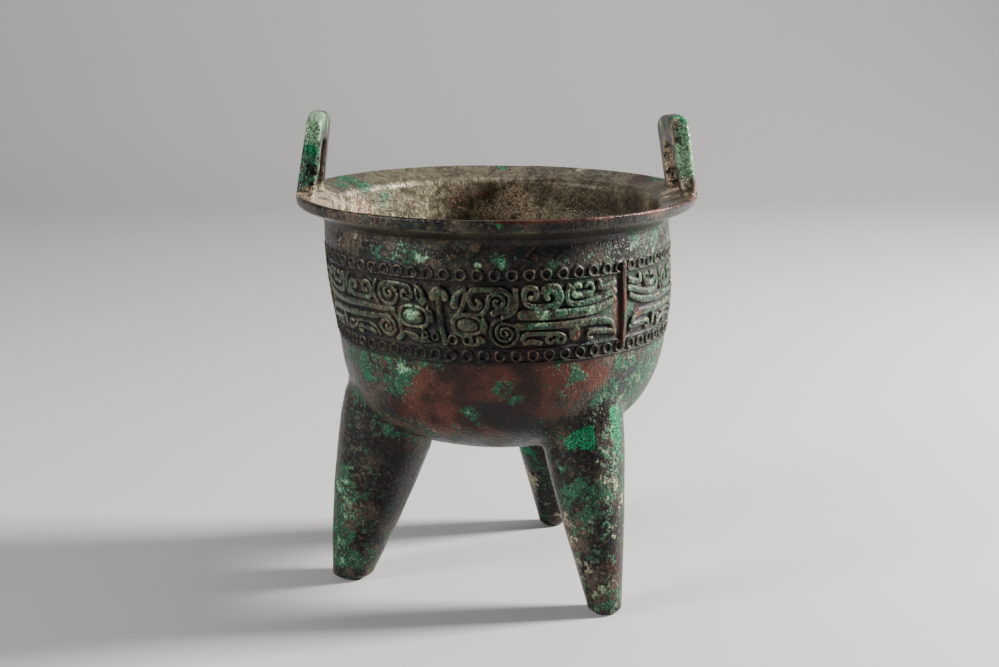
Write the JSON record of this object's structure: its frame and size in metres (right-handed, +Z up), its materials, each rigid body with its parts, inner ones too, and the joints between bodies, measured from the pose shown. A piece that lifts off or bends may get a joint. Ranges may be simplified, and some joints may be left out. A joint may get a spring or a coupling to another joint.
{
  "type": "bronze ding tripod",
  "caption": "Deep round bronze bowl on hollow conical legs, with upright loop handles on its rim and a cast band of beast masks.",
  "frame": {"origin": "on the ground plane, on the axis of the rim, at the centre of the vessel's footprint box", "axes": "+Z up through the bowl's mouth; -Y towards the viewer of the picture, +X to the viewer's right; the handles stand at +X and -X"},
  "size_m": [0.1692, 0.1696, 0.2045],
  "materials": {
    "patinated_bronze": "old bronze under dark green and brown patina, matt with a dull sheen"
  },
  "bodies": {
    "root": {"vessel": "patinated_bronze"}
  },
  "joints": []
}
